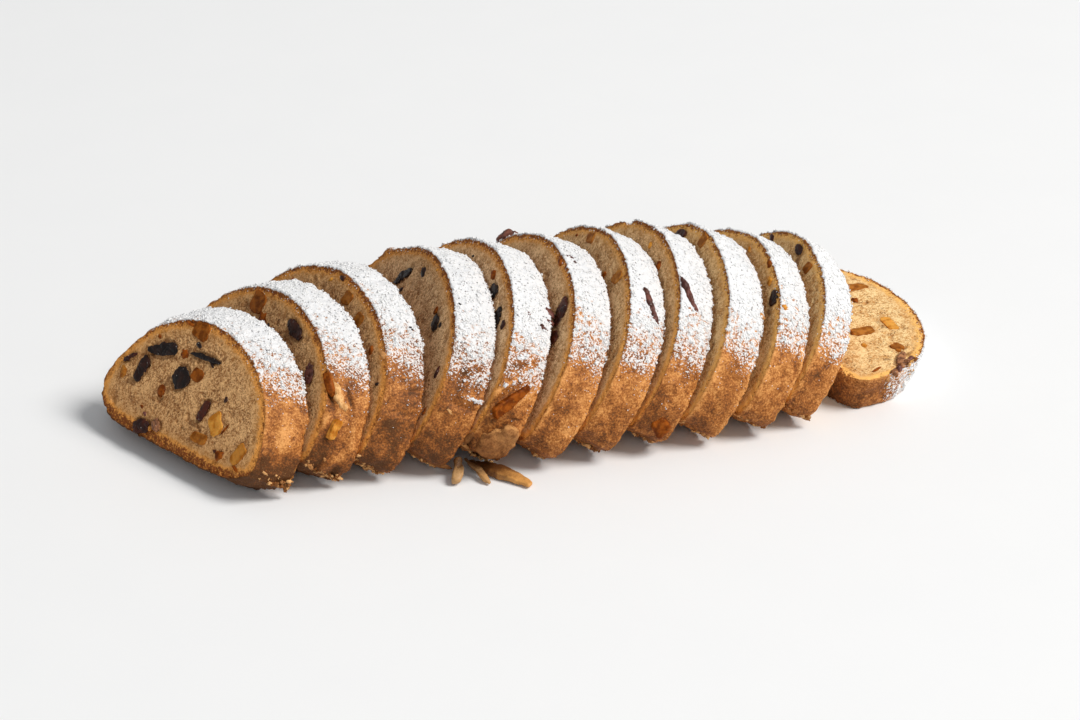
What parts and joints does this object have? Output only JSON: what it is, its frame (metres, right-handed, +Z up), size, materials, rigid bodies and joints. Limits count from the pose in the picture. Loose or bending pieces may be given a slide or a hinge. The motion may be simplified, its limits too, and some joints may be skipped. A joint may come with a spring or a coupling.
{
  "type": "stollen",
  "caption": "Sliced stollen with icing sugar: domed fruit bread slices leaning on one another in a row, with raisins and candied peel in the cuts",
  "frame": {"origin": "Middle of the bounding box in plan, on the surface that the row lies on", "axes": "+X runs along the row from the first cut face to the slice that lies flat, +Y is the back, +Z is up"},
  "size_m": [0.3456, 0.149, 0.0642],
  "materials": {
    "bread": "matte crumb with a browned, sugared crust",
    "crust": "matte browned crust",
    "raisin": "wrinkled, slightly shiny",
    "peel": "translucent candied peel",
    "sugar": "dry icing sugar"
  },
  "bodies": {
    "root": {"crust_peel_02": "peel", "crust_peel_05": "peel", "crust_peel_08": "peel", "crust_raisin_06": "raisin", "crust_raisin_07": "raisin", "crust_raisin_08": "raisin", "peel_01a": "peel", "peel_01b": "peel", "peel_01c": "peel", "peel_01d": "peel", "peel_01e": "peel", "peel_02a": "peel", "peel_03a": "peel", "peel_03b": "peel", "peel_07a": "peel", "peel_07b": "peel", "peel_09a": "peel", "peel_11a": "peel", "peel_12a": "peel", "peel_12b": "peel", "peel_12c": "peel", "peel_12d": "peel", "peel_strip_1": "peel", "peel_strip_2": "peel", "peel_strip_3": "peel", "raisin_01a": "raisin", "raisin_01b": "raisin", "raisin_01c": "raisin", "raisin_01d": "raisin", "raisin_01e": "raisin", "raisin_01f": "raisin", "raisin_01g": "raisin", "raisin_01h": "raisin", "raisin_02a": "raisin", "raisin_02b": "raisin", "raisin_04a": "raisin", "raisin_04b": "raisin", "raisin_05a": "raisin", "raisin_05b": "raisin", "raisin_06a": "raisin", "raisin_06b": "raisin", "raisin_09a": "raisin", "raisin_10a": "raisin", "raisin_11a": "raisin", "raisin_12a": "raisin", "slice_01": "bread", "slice_02": "bread", "slice_03": "bread", "slice_04": "bread", "slice_05": "bread", "slice_06": "bread", "slice_07": "bread", "slice_08": "bread", "slice_09": "bread", "slice_10": "bread", "slice_11": "bread", "slice_12": "bread", "torn_crust_05": "crust"}
  },
  "joints": []
}
